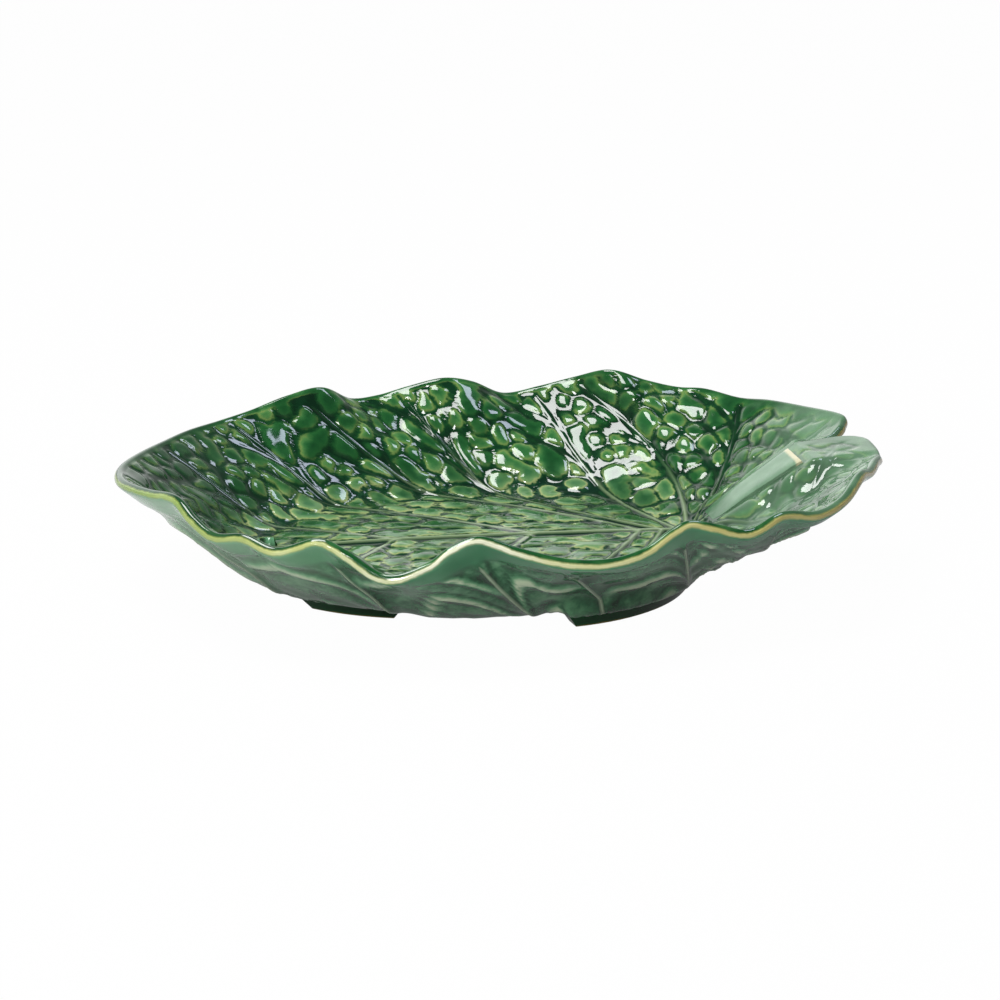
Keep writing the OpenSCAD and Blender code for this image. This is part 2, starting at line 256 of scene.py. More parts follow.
# Columns crowd together by the notch, so the wall's own slope is used there, and its relief fades
NOTCH_MIDDLE = 0.004
notch_gap = np.abs(column_rim[:, 1] - NOTCH_MIDDLE)
uncrowded = np.maximum(ease((notch_gap - 0.006) / 0.008), ease(-column_rim[:, 0] / 0.02))


def surface_normals(points):
    along = np.empty_like(points)
    along[:, 1:-1] = points[:, 2:] - points[:, :-2]
    along[:, 0] = points[:, 1] - points[:, 0]
    along[:, -1] = points[:, -1] - points[:, -2]
    around = np.roll(points, -1, axis=0) - np.roll(points, 1, axis=0)
    normals = unit(np.cross(along, around))
    normals[:, 0] = (0, 0, 1)
    step = np.array([0.0003, 0])
    p = points[..., :2]
    rise_x = (leaf_z(p + step) - leaf_z(p - step)) / (2 * step[0])
    rise_y = (leaf_z(p + step[::-1]) - leaf_z(p - step[::-1])) / (2 * step[0])
    slope = unit(np.stack([-rise_x, -rise_y, np.ones_like(rise_x)], axis=-1))
    return unit(slope + (normals - slope) * uncrowded[:, None, None]), unit(along)


def gap_to_rim(grid):
    gap = np.cumsum(lengths(np.diff(grid, axis=1))[:, ::-1], axis=1)[:, ::-1]
    return np.concatenate([gap, np.zeros((ring_columns, 1))], axis=1)


INNER_ROWS = 128
inner_v = np.linspace(0, 1, INNER_ROWS + 1)
inner_grid = leaf_surface(inner_v)
inner_normals, inner_along = surface_normals(inner_grid)
inner_rim_gap = gap_to_rim(inner_grid)

# Veins: the midrib, a vein on each panel's edge, and side branches that leave it in pairs.
# Each is a line of points on the leaf's face with a height and a half width at every point.
VEIN_HEIGHT = 0.0012
VEIN_HALF_WIDTH = 0.0017
BRANCH_HEIGHT = 0.0006
BRANCH_HALF_WIDTH = 0.0011
VEIN_STEP = 0.0005
NARROW_PANEL = 0.025
vein_points = []
vein_sizes = []


def add_vein(points, height, half_width):
    for i in range(len(points) - 1):
        steps = max(1, math.ceil(np.linalg.norm(points[i + 1] - points[i]) / VEIN_STEP))
        for s in np.arange(steps) / steps:
            vein_points.append(points[i] + (points[i + 1] - points[i]) * s)
            vein_sizes.append((
                height[i] + (height[i + 1] - height[i]) * s,
                half_width[i] + (half_width[i + 1] - half_width[i]) * s))


rib_share = np.linspace(-0.62, 0.585, 120)
rib_plan = midrib(rib_share)
rib_line = np.concatenate([rib_plan, leaf_z(rib_plan)[:, None]], axis=1)
rib_taper = ease((rib_share + 0.75) / 0.5)
add_vein(rib_line, VEIN_HEIGHT * (0.7 + 0.5 * rib_taper), VEIN_HALF_WIDTH * (0.8 + 0.5 * rib_taper))
vein_taper = (1 - 0.5 * inner_v)[:-4]
for c, ridge_height in ridge_heights.items():
    if ridge_height:
        half_widths = VEIN_HALF_WIDTH * (0.4 + 0.6 * ridge_height) * vein_taper
        add_vein(inner_grid[c, :-4], VEIN_HEIGHT * ridge_height * vein_taper, half_widths)
main_vein_points = len(vein_points)


def across_panel(c, v):
    place = c % ring_columns
    j = v * INNER_ROWS
    i0, j0 = int(place), min(int(j), INNER_ROWS - 1)
    i1 = (i0 + 1) % ring_columns
    s, t = place - i0, j - j0
    near = inner_grid[i0, j0] * (1 - t) + inner_grid[i0, j0 + 1] * t
    far = inner_grid[i1, j0] * (1 - t) + inner_grid[i1, j0 + 1] * t
    return near * (1 - s) + far * s


branch_random = np.random.default_rng(7)
branch_share = np.linspace(0, 1, 24)
vein_order = sorted(c for c, ridge_height in ridge_heights.items() if ridge_height)
for n, c in enumerate(vein_order):
    for side in (-1, 1):
        other = vein_order[(n + side) % len(vein_order)]
        columns_between = side * (other - c) % ring_columns
        if np.linalg.norm(inner_grid[c, -20] - inner_grid[other, -20]) < NARROW_PANEL:
            continue
        start = 0.34 if side > 0 else 0.46
        while start < 0.82:
            across = side * columns_between * branch_random.uniform(0.36, 0.5)
            length = branch_random.uniform(0.2, 0.27)
            branch = np.array([
                across_panel(c + across * s ** 1.25, min(start + length * s, 0.97)) for s in branch_share])
            half_widths = BRANCH_HALF_WIDTH * (1 - 0.4 * branch_share)
            add_vein(branch, BRANCH_HEIGHT * (1 - 0.6 * branch_share), half_widths)
            start += branch_random.uniform(0.2, 0.28)

vein_points = np.array(vein_points)
vein_sizes = np.array(vein_sizes)


def point_tree(points):
    tree = KDTree(len(points))
    for i, p in enumerate(points):
        tree.insert(p, i)
    tree.balance()
    return tree


def nearest_vein(points, tree):
    found = [tree.find(p)[1:] for p in points.reshape(-1, 3)]
    index = np.array([f[0] for f in found])
    gap = np.array([f[1] for f in found])
    return gap.reshape(points.shape[:-1]), vein_sizes[index].reshape(points.shape[:-1] + (2,))


inner_gap, inner_vein = nearest_vein(inner_grid, point_tree(vein_points))

# Puffs: the pads of leaf between the veins. Each is set down where there is room for it, longer
# along the veins, and some run together with a neighbour.
PUFF_LONG = 0.0098
PUFF_SHORT = 0.0070
PUFF_HEIGHT = 0.0009
PUFF_TRIES = 12000
FLOOR_PUFFS = 1.3
JOINED_SHARE = 0.2
WANDER = 0.0016
WANDER_SCALE = 130  # turns in a metre, so one every 8 mm
RIM_CLEARANCE = 0.0025
STRAP_CLEARANCE = 0.002
GROOVE_DEPTH = 0.0004
GROOVE_HALF_WIDTH = 0.0002
ROUNDING = 0.0007


def strap_gap(p):
    return np.maximum(beside_stalk(p), np.maximum(STALK_START - p[..., 0], p[..., 0] - STALK_END))


inner_strap_gap = strap_gap(inner_grid)
off_veins = inner_gap > inner_vein[..., 1] + WANDER
inner_open = off_veins & (inner_rim_gap > RIM_CLEARANCE) & (inner_strap_gap > STRAP_CLEARANCE)
puff_size = FLOOR_PUFFS + (1 - FLOOR_PUFFS) * ease(climb(inner_grid) / 0.5)
wander_starts = np.array([[0, 0, 0], [31.7, 9.2, 5.1], [8.4, 52.6, 17.9]])
wander = WANDER * np.array([
    [noise.noise(p * WANDER_SCALE + start) for start in wander_starts] for p in inner_grid.reshape(-1, 3)])
flat_points = inner_grid.reshape(-1, 3) + wander
flat_lines = inner_along.reshape(-1, 3)
flat_crosses = np.cross(inner_normals.reshape(-1, 3), flat_lines)
chance = (lengths(np.roll(inner_grid, -1, axis=0) - inner_grid) * inner_open).ravel()
puff_random = np.random.default_rng(3)
tries = puff_random.choice(len(flat_points), size=PUFF_TRIES, replace=False, p=chance / chance.sum())
seeds, lines, crosses, sizes = np.empty((0, 3)), np.empty((0, 3)), np.empty((0, 3)), np.empty(0)
for i in tries:
    size = puff_size.flat[i] * puff_random.uniform(0.75, 1.3)
    away = seeds - flat_points[i]
    room = (away @ flat_lines[i] / PUFF_LONG) ** 2 + (away @ flat_crosses[i] / PUFF_SHORT) ** 2
    if not len(seeds) or room.min() > size ** 2:
        seeds = np.vstack([seeds, flat_points[i]])
        lines = np.vstack([lines, flat_lines[i]])
        crosses = np.vstack([crosses, flat_crosses[i]])
        sizes = np.append(sizes, size)
group = np.arange(len(seeds))
for i in range(len(seeds)):
    if puff_random.uniform() < JOINED_SHARE and group[i] == i:
        away = seeds - seeds[i]
        room = (away @ lines[i] / PUFF_LONG) ** 2 + (away @ crosses[i] / PUFF_SHORT) ** 2
        room[i] = np.inf
        if room.min() < 1.8:
            group[i] = group[room.argmin()]

# Distance of each point from the edge of its puff, inwards, with rounded corners. A groove runs
# halfway to the next puff, but not between two that run together.
puff_tree = point_tree(seeds)
near = np.array([[f[1] for f in puff_tree.find_n(p, 8)] for p in flat_points])
away = flat_points[:, None] - seeds[near]
lengthways = (away * lines[near]).sum(axis=2) * PUFF_SHORT / PUFF_LONG
square = lengthways ** 2 + (away * crosses[near]).sum(axis=2) ** 2
order = np.argsort(square, axis=1)
square = np.take_along_axis(square, order, axis=1)
near = np.take_along_axis(near, order, axis=1)
own = near[:, :1]
step = seeds[near[:, 1:]] - seeds[own]
span = np.hypot((step * lines[own]).sum(axis=2) * PUFF_SHORT / PUFF_LONG, (step * crosses[own]).sum(axis=2))
halfway = (square[:, 1:] - square[:, :1]) / (2 * span + 1e-6) - GROOVE_HALF_WIDTH
halfway += 0.02 * (group[near[:, 1:]] == group[own])
joined = np.isin(group[own], group[group != np.arange(len(group))])
oval = PUFF_SHORT * sizes[own] * (0.78 + 0.5 * joined) - np.sqrt(square[:, :1])
pad_edges = np.concatenate([
    halfway, oval, (inner_gap - inner_vein[..., 1] * 0.95).reshape(-1, 1),
    (inner_rim_gap * 1.2 - 0.0006).reshape(-1, 1), (inner_strap_gap - 0.0008).reshape(-1, 1)], axis=1)
pad_gap = -np.log(np.exp(-np.clip(pad_edges, -0.003, 0.02) / ROUNDING).sum(axis=1)) * ROUNDING
pad_gap = pad_gap.reshape(inner_gap.shape)
pad_tone = np.random.default_rng(5).uniform(0, 1, len(seeds))[group[own]].reshape(inner_gap.shape)

# Relief of the inner face. It fades out at the rim and beside the stalk, and is lower at the lobes.
swell = clamp01((pad_gap + 0.0004) / 0.003)
pad = 0.4 * ease(swell * 1.4) + 0.6 * swell * (2 - swell)
ridge = np.exp(-(inner_gap / inner_vein[..., 1] / 0.85) ** 2)
at_lobes = ease((inner_grid[..., 0] - 0.105) / 0.03)
off_rim = ease(inner_rim_gap / (0.002 + 0.006 * at_lobes)) * uncrowded[:, None]
off_strap = ease((inner_strap_gap - 0.0002) / 0.002)
pad_height = PUFF_HEIGHT * (0.65 + 0.55 * pad_tone) * (1 - 0.5 * at_lobes) * puff_size
inner_relief = pad_height * pad + inner_vein[..., 0] * ridge - GROOVE_DEPTH
inner_relief *= off_strap * off_rim

# The panels also swell as a whole between the veins, in rows, most of all on the wall
SWELLING_HEIGHT = 0.0014
SWELLINGS = 5
swelling_rows = 0.5 - 0.5 * np.cos(2 * math.pi * (SWELLINGS * inner_v + panel_index[:, None] / 2))
swelling = np.sin(math.pi * panel_share)[:, None] * swelling_rows
swelling *= ease((1 - inner_v) / 0.14) * ease(inner_v / 0.12) * off_slope(inner_grid) * uncrowded[:, None]
swelling *= 0.3 + 0.7 * ease(climb(inner_grid) / 0.3)
inner_relief += SWELLING_HEIGHT * swelling
inner_points = inner_grid + inner_normals * inner_relief[..., None]

# Marks that the glaze follows. The smooth band at the rim has the depth and tone of a plain pad.
BAND_GAP = 0.0024
BAND_TONE = 0.25
inner_marks = {
    "pad_gap": pad_gap * off_rim + BAND_GAP * (1 - off_rim),
    "pad_tone": pad_tone * off_rim + BAND_TONE * (1 - off_rim),
    "vein_place": inner_gap / inner_vein[..., 1] + 3 * (1 - off_strap) + 3 * (1 - off_rim),
    "vein_rise": inner_vein[..., 0] / VEIN_HEIGHT,
    "outside": np.zeros_like(pad_gap)}

# Outer face: the wall's thickness below the inner one, level over each foot, with its own
# ribs behind the main veins and soft slanting folds between them
OUTER_ROWS = 76
outer_v = np.linspace(0, 1, OUTER_ROWS + 1)
outer_grid = leaf_surface(outer_v)
outer_normals = surface_normals(outer_grid)[0]
outer_rim_gap = gap_to_rim(outer_grid)

# Each foot is an arc: its centre as shares of the half length and half width, the share of the
# half width that is its radius, and its first and last bearing. The back ones are mirrored.
FOOT_DRAFT = 0.7
FOOT_SPOTS = [((-0.19, 0.11), 0.6, 221, 253), ((0.03, -0.11), 0.55, 274, 344)]
LEVEL_BLEND = 0.036 * HALF_WIDTH
CUT_BACK = 0.0019


def past_feet(p):
    for centre, radius_share, first, last in FOOT_SPOTS:
        radius = radius_share * HALF_WIDTH
        for side in (1, -1):
            x, y = p[..., 0] - centre[0] * HALF_LENGTH, side * p[..., 1] - centre[1] * HALF_WIDTH
            bearing = np.degrees(np.arctan2(y, x)) % 360
            past_end = np.abs(bearing - (first + last) / 2) - (last - first) / 2
            yield radius, lengths(np.stack([x, y], axis=-1)) - radius, past_end


def off_feet(p):
    off = np.ones(p.shape[:-1])
    for radius, out, past_end in past_feet(p):
        across = np.abs(out + FOOT_WIDTH / 2) - FOOT_WIDTH / 2 - FOOT_DRAFT * FOOT_HEIGHT
        along = np.maximum(0, past_end) * radius * math.pi / 180
        off = np.minimum(off, ease(np.maximum(0, np.maximum(across, along)) / LEVEL_BLEND))
    return off


# The belly is cut back a little in front of each foot, from 4 to 45 mm outside it, so that the
# foot shows below it
def before_feet(p):
    before = np.zeros(p.shape[:-1])
    for radius, out, past_end in past_feet(p):
        depth = ease((out - 0.0035) / 0.006) * ease((0.045 - out) / 0.015)
        before = np.maximum(before, depth * ease(1 - past_end / 12))
    return before


# The folds slant away from each vein and waver a little. They run out where a panel is narrow.
HOLLOW_DEPTH = 0.0016
HOLLOWS = 5
HOLLOW_SLANT = 0.7
RIB_HALF_WIDTH = 0.0011
STREAK_HEIGHT = 0.00015
outer_gap, outer_vein = nearest_vein(outer_grid, point_tree(vein_points[:main_vein_points]))
crowding = (1 - CROWDING * np.cos(2 * math.pi * panel_share))[:, None]
column_gap = lengths(np.roll(outer_grid, -1, axis=0) - outer_grid) / crowding
panel_width = column_gap * np.array(panel_counts + [1])[panel_index][:, None]
roomy = ease((panel_width - 0.006) / 0.013)
off_middle = np.abs(1 - 2 * panel_share)
fold_phase = HOLLOWS * outer_v[None, :] + (HOLLOW_SLANT * off_middle + panel_index / 2)[:, None]
fold_phase += 0.2 * np.sin(9 * outer_v[None, :] + 5 * panel_index[:, None]) * (1 - off_middle)[:, None]
fold_phase += 0.16 * np.sin(2 * math.pi * 1.5 * panel_share + 2.2 * panel_index)[:, None]
fold = (0.5 + 0.5 * np.cos(2 * math.pi * fold_phase)) ** 3
fold = np.maximum(fold, 0.6 * (0.5 + 0.5 * np.cos(2 * math.pi * (fold_phase + 0.5))) ** 5)
streak = np.cos(2 * math.pi * fold_phase * 3)
between = np.sqrt(np.sin(math.pi * panel_share))[:, None] * roomy
hollow = between * (1 - fold) * ease(outer_gap / 0.003)
rib = np.exp(-(outer_gap / RIB_HALF_WIDTH) ** 2)
on_wall = ease(climb(outer_grid) / 0.2) * ease((outer_rim_gap - 0.0085) / 0.005)
outer_relief = (0.0004 + outer_vein[..., 0]) * rib * roomy - HOLLOW_DEPTH * hollow
outer_relief += STREAK_HEIGHT * streak * between
outer_relief *= on_wall
outer_points = outer_grid - outer_normals * (WALL_THICKNESS + outer_relief)[..., None]
outer_points[..., 2] += CUT_BACK * before_feet(outer_points)
above_feet = np.maximum(outer_points[..., 2], FOOT_HEIGHT) - FOOT_HEIGHT
outer_points[..., 2] = FOOT_HEIGHT + above_feet * off_feet(outer_points)
outer_marks = {
    # Outside, pad_gap carries the folds: the glaze paints their tops pale as painted highlight and their
    # hollows dark as painted shade
    "pad_gap": (fold + 0.18 * streak) * between * on_wall,
    "pad_tone": on_wall,
    "vein_place": outer_gap / RIB_HALF_WIDTH + 3 * (1 - on_wall * roomy),
    "vein_rise": outer_vein[..., 0] / VEIN_HEIGHT,
    "outside": np.ones_like(outer_gap)}

# Lip: the edge is rounded between the two faces, tighter at its outer corner, where the glaze
# runs thin and the clay shows as a pale line
LIP_ROWS = 9
inner_edge, outer_edge = inner_points[:, -1], outer_points[:, -1]
lip_middle = (inner_edge + outer_edge) / 2
lip_rows = [inner_edge]
for angle in np.linspace(0, math.pi, LIP_ROWS + 1)[1:-1]:
    side = math.copysign(abs(math.cos(angle)) ** 0.8, math.cos(angle))
    up = math.sin(angle) ** 0.75
    outward = inner_along[:, -1] * WALL_THICKNESS / 2 * up
    lip_rows.append(lip_middle + (inner_edge - lip_middle) * side + outward)
lip_rows.append(outer_edge)
lip_arc = np.cumsum([0] + [np.mean(lengths(b - a)) for a, b in zip(lip_rows, lip_rows[1:])])
crest_arc = lip_arc[-1] * 0.66

# One closed skin of rings, from the midrib over the lip to the belly. A ring has fewer points
# towards the midrib and under the belly, where the columns crowd together.
inner_steps = np.where(inner_v > 0.58, 1, np.where(inner_v > 0.14, 2, 4))
outer_steps = np.where(outer_v > 0.93, 1, np.where(outer_v > 0.42, 2, 4))
skin_points = []
skin_marks = {name: [] for name in [*inner_marks, "crest_gap"]}
rings = []


def add_ring(points, marks, crest_gap, step, on_midrib=False):
    # On the midrib the two sides share their points
    chosen = slice(0, side_columns + 1 if on_midrib else ring_columns, step)
    first = sum(len(p) for p in skin_points)
    skin_points.append(points[chosen])
    for name, values in {**marks, "crest_gap": crest_gap}.items():
        skin_marks[name].append(values[chosen])
    ring = np.arange(ring_columns // step)
    rings.append(first + (np.minimum(ring, len(ring) - ring) if on_midrib else ring))


everywhere = np.ones(ring_columns)
for j, step in enumerate(inner_steps):
    marks = {name: values[:, j] for name, values in inner_marks.items()}
    crest_gap = -crest_arc - inner_rim_gap[:, j] if j else -everywhere
    add_ring(inner_points[:, j], marks, crest_gap, step, j == 0)
for k in range(1, LIP_ROWS):
    over = everywhere * (lip_arc[k] > crest_arc)
    marks = {
        "pad_gap": (1 - over) * BAND_GAP, "pad_tone": (1 - over) * BAND_TONE, "vein_place": 4 * everywhere,
        "vein_rise": 0 * over, "outside": over}
    add_ring(lip_rows[k], marks, (lip_arc[k] - crest_arc) * everywhere, 1)
for j, step in reversed(list(enumerate(outer_steps))):
    marks = {name: values[:, j] for name, values in outer_marks.items()}
    crest_gap = lip_arc[-1] - crest_arc + outer_rim_gap[:, j] if j else everywhere
    add_ring(outer_points[:, j], marks, crest_gap, step, j == 0)

faces = []
for low, high in zip(rings, rings[1:]):
    low_next, high_next = np.roll(low, -1), np.roll(high, -1)
    if len(low) == len(high):
        faces += np.stack([low, high, high_next, low_next], axis=1).tolist()
    elif 2 * len(low) == len(high):
        first, second, third = high[0::2], high[1::2], np.roll(high[0::2], -1)
        faces += np.stack([low, first, second], axis=1).tolist()
        faces += np.stack([low, second, low_next], axis=1).tolist()
        faces += np.stack([low_next, second, third], axis=1).tolist()
    else:
        first, second, third = low[0::2], low[1::2], np.roll(low[0::2], -1)
        faces += np.stack([high, second, first], axis=1).tolist()
        faces += np.stack([high, high_next, second], axis=1).tolist()
        faces += np.stack([high_next, third, second], axis=1).tolist()

# The leaf is centred in plan on its solid
points = np.concatenate(skin_points)
low_corner, high_corner = (np.array(corner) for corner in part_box("leaf_dish"))
off_centre = (low_corner + high_corner) / 2 - (points.min(axis=0) + points.max(axis=0)) / 2
shift = np.array([*off_centre[:2], 0])
leaf_mesh = bpy.data.meshes.new("leaf_skin")
leaf_mesh.from_pydata((points + shift).tolist(), [], faces)
for name, rows in skin_marks.items():
    values = np.concatenate(rows).astype(np.float32)
    leaf_mesh.attributes.new(name, "FLOAT", "POINT").data.foreach_set("value", values)
leaf_mesh.shade_smooth()
leaf_mesh.validate()
leaf = bpy.data.objects.new("leaf_skin", leaf_mesh)
bpy.context.collection.objects.link(leaf)


def linear(colour):
    parts = [int(colour[i:i + 2], 16) / 255 for i in (1, 3, 5)]
    return [p / 12.92 if p <= 0.04045 else ((p + 0.055) / 1.055) ** 2.4 for p in parts] + [1]


def add_node(tree, kind, settings=None, inputs=None):
    # Inputs go by name, or in their order. Stops are those of a colour ramp, which starts with two.
    made = tree.nodes.new("ShaderNode" + kind)
    for name, value in (settings or {}).items():
        if name == "stops":
            for i, (place, colour) in enumerate(value):
                stop = made.color_ramp.elements[i] if i < 2 else made.color_ramp.elements.new(place)
                stop.position, stop.color = place, linear(colour)
        else:
            setattr(made, name, value)
    given = dict(enumerate(inputs)) if isinstance(inputs, list) else inputs or {}
    for name, value in given.items():
        if isinstance(value, bpy.types.NodeSocket):
            tree.links.new(value, made.inputs[name])
        else:
            made.inputs[name].default_value = value
    return made.outputs


# Green lead glaze over pale earthenware: a clear, glassy green that is olive where it is thin
# and nearly black where it has gathered. It gives sharp reflections over a deep colour.
# Its noise scales count in a metre: runs of 5 mm, patches of 8 mm, drifts of 22 mm, ripples of 4 mm.
FLOW_SCALE = 190
PATCH_SCALE = 125
DRIFT_SCALE = 45
RIPPLE_SCALE = 260
GLAZE_IOR = 1.52
glaze = bpy.data.materials.new("green_glaze_on_earthenware")
glaze.use_nodes = True
tree = glaze.node_tree
tree.nodes.clear()
marks = {name: add_node(tree, "Attribute", {"attribute_name": name})["Fac"] for name in skin_marks}
place = add_node(tree, "TexCoord")["Object"]
position = add_node(tree, "SeparateXYZ", inputs={"Vector": place})
flow = add_node(tree, "TexNoise", inputs={
    "Vector": place, "Scale": FLOW_SCALE, "Detail": 4, "Roughness": 0.6})["Fac"]
patch = add_node(tree, "TexNoise", inputs={"Vector": place, "Scale": PATCH_SCALE, "Detail": 1})["Fac"]
drift = add_node(tree, "TexNoise", inputs={"Vector": place, "Scale": DRIFT_SCALE, "Detail": 2})["Fac"]

# Inside: dark green in the grooves, yellow-green where the glaze thins on a puff's shoulder, and
# a clear green pool on its back. Some puffs are pale all over and some hardly at all.
wavering = add_node(tree, "MapRange", inputs=[flow, 0.25, 0.75, -0.0009, 0.0009])["Result"]
pad_place = add_node(tree, "Math", {"operation": "ADD"}, [marks["pad_gap"], wavering])["Value"]
pad_depth = add_node(tree, "MapRange", inputs=[pad_place, -0.0010, 0.0034])["Result"]
bright_pad = add_node(tree, "ValToRGB", {"stops": [
    (0.06, "#07321a"), (0.25, "#174a22"), (0.4, "#6d8a49"),
    (0.55, "#4d7d43"), (0.75, "#326a37"), (1, "#215c2e")]}, [pad_depth])["Color"]
dark_pad = add_node(tree, "ValToRGB", {"stops": [
    (0.06, "#042613"), (0.3, "#0b3a1a"), (0.5, "#1f5528"),
    (0.75, "#184e25"), (1, "#124420")]}, [pad_depth])["Color"]
drifting = add_node(tree, "MapRange", inputs=[drift, 0.3, 0.7, -0.5, 0.5])["Result"]
patchy = add_node(tree, "MapRange", inputs=[patch, 0.35, 0.65, -0.45, 0.4])["Result"]
uneven = add_node(tree, "Math", {"operation": "ADD"}, [drifting, patchy])["Value"]
puff_tone = add_node(tree, "Math", {"operation": "ADD"}, [marks["pad_tone"], uneven])["Value"]
tone = add_node(tree, "MapRange", inputs=[puff_tone, 0.1, 0.9])["Result"]
inside = add_node(tree, "Mix", {"data_type": "RGBA"}, {
    "Factor": tone, "A": dark_pad, "B": bright_pad})["Result"]

# The floor's puffs and the lobes by the stalk are paler
floor_pad = add_node(tree, "ValToRGB", {"stops": [
    (0.1, "#08291a"), (0.3, "#17432a"), (0.42, "#a0ab72"),
    (0.55, "#6f9360"), (1, "#44724a")]}, [pad_depth])["Color"]
on_floor = add_node(tree, "MapRange", inputs=[position["Z"], 0.021, 0.013])["Result"]
floor_tone = add_node(tree, "MapRange", inputs=[tone, 0, 1, 0.2, 0.9])["Result"]
floor_share = add_node(tree, "Math", {"operation": "MULTIPLY"}, [on_floor, floor_tone])["Value"]
inside = add_node(tree, "Mix", {"data_type": "RGBA"}, {
    "Factor": floor_share, "A": inside, "B": floor_pad})["Result"]
far_side = add_node(tree, "Math", {"operation": "MAXIMUM"}, [position["Y"], 0.0])["Value"]
far_setback = add_node(tree, "Math", {"operation": "MULTIPLY"}, [far_side, 0.8])["Value"]
lobe_place = add_node(tree, "Math", {"operation": "SUBTRACT"}, [position["X"], far_setback])["Value"]
by_stalk = add_node(tree, "MapRange", inputs=[lobe_place, 0.082, 0.112])["Result"]
lobe_drift = add_node(tree, "MapRange", inputs=[drift, 0.35, 0.65, 0.3, 0.7])["Result"]
lobe_share = add_node(tree, "Math", {"operation": "MULTIPLY"}, [by_stalk, lobe_drift])["Value"]
inside = add_node(tree, "Mix", {"data_type": "RGBA"}, {
    "Factor": lobe_share, "A": inside, "B": linear("#739577")})["Result"]

# The wall at the tip is painted darker, as painted shade
towards_tip = add_node(tree, "MapRange", inputs=[position["X"], -0.082, -0.122])["Result"]
off_floor = add_node(tree, "Math", {"operation": "SUBTRACT"}, [1.0, on_floor])["Value"]
tip_wall_for_shade = add_node(tree, "Math", {"operation": "MULTIPLY"}, [towards_tip, off_floor])["Value"]
tip_shade_drift = add_node(tree, "MapRange", inputs=[drift, 0.3, 0.7, 0.3, 0.65])["Result"]
painted_tip_shade_share = add_node(tree, "Math", {"operation": "MULTIPLY"}, [tip_wall_for_shade, tip_shade_drift])["Value"]
inside = add_node(tree, "Mix", {"data_type": "RGBA"}, {
    "Factor": painted_tip_shade_share, "A": inside, "B": linear("#22382a")})["Result"]

# Outside: a thinner, greyer green, darker in the hollows as painted shade and pale along the folds as
# painted highlight, with an even band below the rim. Round the tip it is painted palest, as painted light.
fold_flow = add_node(tree, "MapRange", inputs=[flow, 0.25, 0.75, -0.2, 0.2])["Result"]
fold_shade_place = add_node(tree, "Math", {"operation": "ADD"}, [marks["pad_gap"], fold_flow])["Value"]
painted_fold_shade_and_highlight = add_node(tree, "ValToRGB", {"stops": [
    (0, "#113a21"), (0.25, "#306a45"), (0.55, "#6aa577"), (1, "#d0e0bd")]}, [fold_shade_place])["Color"]
band_drift = add_node(tree, "MapRange", inputs=[drift, 0.3, 0.7])["Result"]
band = add_node(tree, "ValToRGB", {"stops": [(0, "#397852"), (1, "#529166")]}, [band_drift])["Color"]
outside = add_node(tree, "Mix", {"data_type": "RGBA"}, {
    "Factor": marks["pad_tone"], "A": band, "B": painted_fold_shade_and_highlight})["Result"]
# Painted light: the outside is paled towards the tip, as if lit there
painted_light_round_tip = add_node(tree, "MapRange", inputs=[position["X"], -0.07, -0.14, 0, 0.6])["Result"]
outside = add_node(tree, "Mix", {"data_type": "RGBA"}, {
    "Factor": painted_light_round_tip, "A": outside, "B": linear("#93b896")})["Result"]
skin = add_node(tree, "Mix", {"data_type": "RGBA"}, {
    "Factor": marks["outside"], "A": inside, "B": outside})["Result"]

# The veins stand out of the glaze as fine lines: pale outside and on the floor, dark up the wall.
# Outside, the pale line on each rib is partly a painted highlight.
on_ridge = add_node(tree, "MapRange", inputs=[marks["vein_place"], 0.9, 0.1])["Result"]
ridge_share = add_node(tree, "MapRange", inputs=[marks["vein_rise"], 0.45, 1.0, 0.1, 0.8])["Result"]
outside_rib_and_highlight_share = add_node(tree, "Math", {"operation": "MULTIPLY"}, [marks["outside"], 0.6])["Value"]
line_strength = add_node(tree, "Math", {"operation": "ADD"}, [ridge_share, outside_rib_and_highlight_share])["Value"]
vein_line = add_node(tree, "Math", {"operation": "MULTIPLY"}, [on_ridge, line_strength])["Value"]
up_wall = add_node(tree, "MapRange", inputs=[position["Z"], 0.012, 0.026])["Result"]
inner_line = add_node(tree, "Mix", {"data_type": "RGBA"}, {
    "Factor": up_wall, "A": linear("#8ea579"), "B": linear("#2f6238")})["Result"]
vein_colour_and_rib_highlight = add_node(tree, "Mix", {"data_type": "RGBA"}, {
    "Factor": marks["outside"], "A": inner_line, "B": linear("#b3c6a6")})["Result"]
skin = add_node(tree, "Mix", {"data_type": "RGBA"}, {
    "Factor": vein_line, "A": skin, "B": vein_colour_and_rib_highlight})["Result"]

# The crest: clay under hardly any glaze, yellow-green at the tip, cream in the middle, then ochre.
# Just left of the middle it is near white, which is partly a painted highlight on the crest.
crest_flow = add_node(tree, "MapRange", inputs=[flow, 0.3, 0.7, -0.0003, 0.0003])["Result"]
crest_place = add_node(tree, "Math", {"operation": "ADD"}, [marks["crest_gap"], crest_flow])["Value"]
across_crest = add_node(tree, "MapRange", inputs=[crest_place, -0.0025, 0.0025])["Result"]
crest_share = add_node(tree, "ValToRGB", {"stops": [
    (0.17, "#000000"), (0.33, "#ffffff"), (0.56, "#ffffff"), (0.76, "#000000")]}, [across_crest])["Color"]
edge_share = add_node(tree, "ValToRGB", {"stops": [
    (0.26, "#ffffff"), (0.36, "#000000"), (0.55, "#000000"), (0.66, "#ffffff")]}, [across_crest])["Color"]
crest_drift = add_node(tree, "MapRange", inputs=[drift, 0.2, 0.8, -0.03, 0.03])["Result"]
along_crest = add_node(tree, "Math", {"operation": "ADD"}, [position["X"], crest_drift])["Value"]
crest_length = add_node(tree, "MapRange", inputs=[along_crest, -0.16, 0.16])["Result"]
